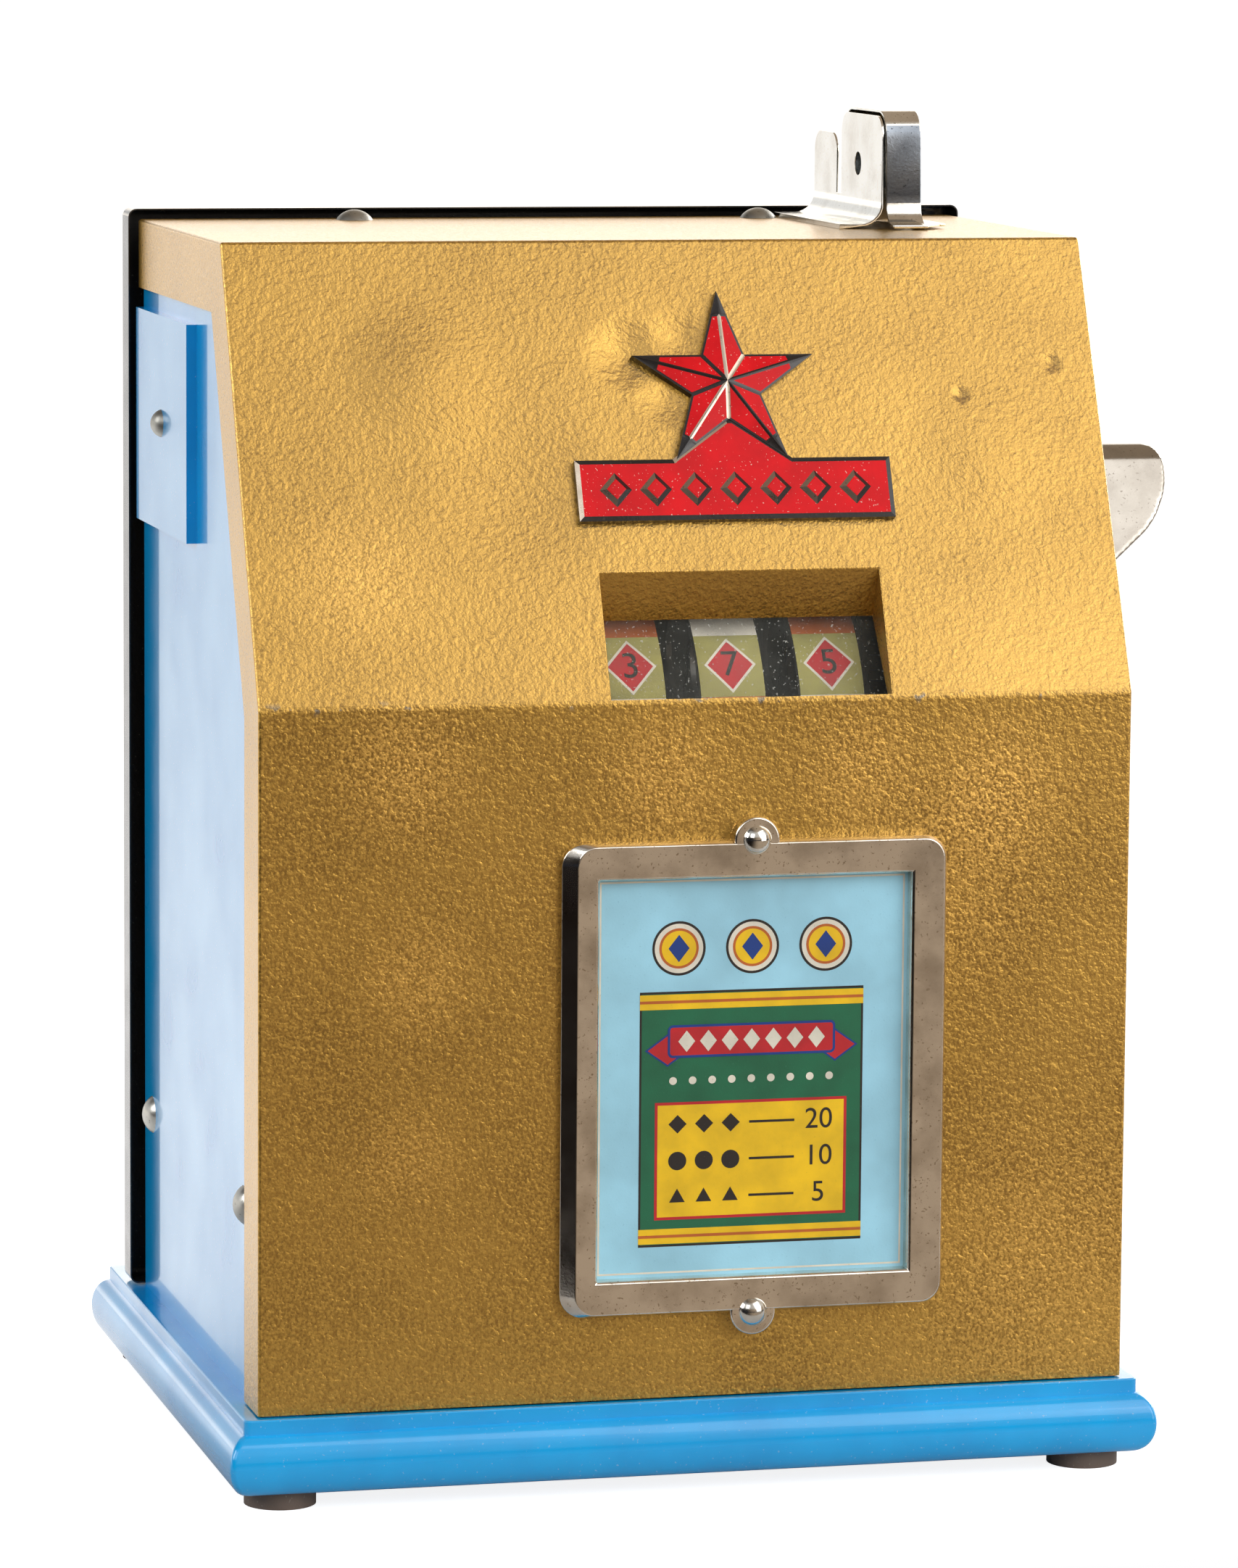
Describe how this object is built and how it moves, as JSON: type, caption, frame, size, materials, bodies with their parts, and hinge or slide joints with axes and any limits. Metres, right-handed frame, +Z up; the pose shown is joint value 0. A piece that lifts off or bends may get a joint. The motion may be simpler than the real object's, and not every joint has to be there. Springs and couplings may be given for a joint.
{
  "type": "trade stimulator",
  "caption": "Counter-top coin-operated reel game with a sloped gold sheet-metal front, painted wooden case, star badge, card frame, coin head, side handle and hinged back door.",
  "frame": {"origin": "middle of the base on the plane of its feet, which the part stands on", "axes": "+Z up, -Y towards the player, +X towards the side with the handle"},
  "size_m": [0.2949, 0.225, 0.3785],
  "materials": {
    "gold_paint": "hammered gold enamel on sheet steel",
    "blue_enamel_wood": "gloss blue enamel on wood",
    "bare_wood": "unfinished softwood",
    "chrome_sheet": "polished chrome plate",
    "nickel_frame": "polished nickel plate",
    "red_enamel": "enamelled die casting",
    "card_print": "printed card",
    "strip_print": "printed paper strip",
    "window_glass": "clear sheet glass",
    "black_wrinkle": "black wrinkle paint on sheet steel",
    "zinc_steel": "zinc-plated steel",
    "drum_aluminium": "spun aluminium, satin",
    "brass_gear": "machined brass",
    "foot_rubber": "moulded rubber"
  },
  "bodies": {
    "cabinet": {"base_board": "blue_enamel_wood", "base_feet": "foot_rubber", "left_side_panel": "blue_enamel_wood", "right_side_panel": "blue_enamel_wood", "top_rail": "bare_wood", "front_shell": "gold_paint", "window_glass": "window_glass", "card_frame": "nickel_frame", "award_card": "card_print", "card_frame_screws": "chrome_sheet", "star_badge": "red_enamel", "coin_head_bracket": "chrome_sheet", "coin_head_cover": "chrome_sheet", "coin_head_rivet": "chrome_sheet", "coin_chute": "zinc_steel", "coin_trip_pin": "zinc_steel", "side_cover_plate": "blue_enamel_wood", "side_plate_screw": "zinc_steel", "side_screws": "zinc_steel", "top_screws": "zinc_steel", "case_hinge_leaves": "zinc_steel", "hinge_pins": "zinc_steel", "lock_keeper": "zinc_steel", "shelf_cleats": "bare_wood", "mechanism_shelf": "zinc_steel", "left_mechanism_plate": "zinc_steel", "right_mechanism_plate": "zinc_steel", "mechanism_tie_rods": "zinc_steel", "mechanism_screws": "zinc_steel", "reel_axle": "zinc_steel", "axle_collars": "zinc_steel", "stop_shaft": "zinc_steel", "handle_bushing": "brass_gear", "handle_spring": "zinc_steel", "cash_tray": "zinc_steel"},
    "back_door": {"back_door": "black_wrinkle", "door_hinge_leaves": "zinc_steel", "lock_body": "chrome_sheet"},
    "lock": {"lock_plug": "brass_gear", "lock_cam": "zinc_steel"},
    "handle": {"handle_lever": "chrome_sheet", "handle_shaft": "zinc_steel", "drive_gear": "brass_gear"},
    "kicker": {"kicker_shaft": "zinc_steel", "kicker_gear": "brass_gear", "kicker_fingers": "zinc_steel"},
    "governor": {"governor_arbor": "zinc_steel", "governor_pinion": "brass_gear", "governor_fan": "drum_aluminium"},
    "left_reel": {"reel_1": "drum_aluminium", "reel_strip_1": "strip_print"},
    "middle_reel": {"reel_2": "drum_aluminium", "reel_strip_2": "strip_print"},
    "right_reel": {"reel_3": "drum_aluminium", "reel_strip_3": "strip_print"},
    "left_stop": {"stop_lever_1": "zinc_steel"},
    "middle_stop": {"stop_lever_2": "zinc_steel"},
    "right_stop": {"stop_lever_3": "zinc_steel"},
    "coin_trip": {"coin_trip_lever": "zinc_steel"}
  },
  "joints": [
    {"name": "door_swing", "type": "hinge", "parent": "cabinet", "child": "back_door", "pos_m": [0.13035, 0.0772, 0.185], "axis": [0, 0, -1], "range_deg": [0, 105]},
    {"name": "lock_turn", "type": "hinge", "parent": "back_door", "child": "lock", "pos_m": [-0.0885, 0.064, 0.206], "axis": [0, -1, 0], "range_deg": [0, 90]},
    {"name": "handle_pull", "type": "hinge", "parent": "cabinet", "child": "handle", "pos_m": [0.1, -0.00006, 0.21584], "axis": [1, 0, 0], "range_deg": [0, 45], "stiffness_Nm_per_rad": 0.5, "springref_deg": -34.38, "deforming": ["handle_spring"]},
    {"name": "kicker_turn", "type": "hinge", "parent": "cabinet", "child": "kicker", "pos_m": [0, -0.01308, 0.14198], "axis": [1, 0, 0], "range_deg": [-68, 0]},
    {"name": "governor_spin", "type": "hinge", "parent": "cabinet", "child": "governor", "pos_m": [0.09, 0.03851, 0.16988], "axis": [1, 0, 0], "range_deg": [-136, 0]},
    {"name": "left_reel_spin", "type": "hinge", "parent": "cabinet", "child": "left_reel", "pos_m": [-0.0155, -0.04456, 0.20284], "axis": [1, 0, 0], "continuous": true},
    {"name": "middle_reel_spin", "type": "hinge", "parent": "cabinet", "child": "middle_reel", "pos_m": [0.013, -0.04456, 0.20284], "axis": [1, 0, 0], "continuous": true},
    {"name": "right_reel_spin", "type": "hinge", "parent": "cabinet", "child": "right_reel", "pos_m": [0.0415, -0.04456, 0.20284], "axis": [1, 0, 0], "continuous": true},
    {"name": "left_stop_swing", "type": "hinge", "parent": "cabinet", "child": "left_stop", "pos_m": [-0.0034, -0.03134, 0.14269], "axis": [1, 0, 0], "range_deg": [0, 3.4]},
    {"name": "middle_stop_swing", "type": "hinge", "parent": "cabinet", "child": "middle_stop", "pos_m": [0.0251, -0.03134, 0.14269], "axis": [1, 0, 0], "range_deg": [0, 3.4]},
    {"name": "right_stop_swing", "type": "hinge", "parent": "cabinet", "child": "right_stop", "pos_m": [0.0536, -0.03134, 0.14269], "axis": [1, 0, 0], "range_deg": [0, 3.4]},
    {"name": "coin_trip_swing", "type": "hinge", "parent": "cabinet", "child": "coin_trip", "pos_m": [0.0935, 0.0215, 0.256], "axis": [0, -1, 0], "range_deg": [0, 25]}
  ],
  "couplings": [
    {"joint": "kicker_turn", "follows": "handle_pull", "ratio": -1.5},
    {"joint": "governor_spin", "follows": "handle_pull", "ratio": -3}
  ]
}
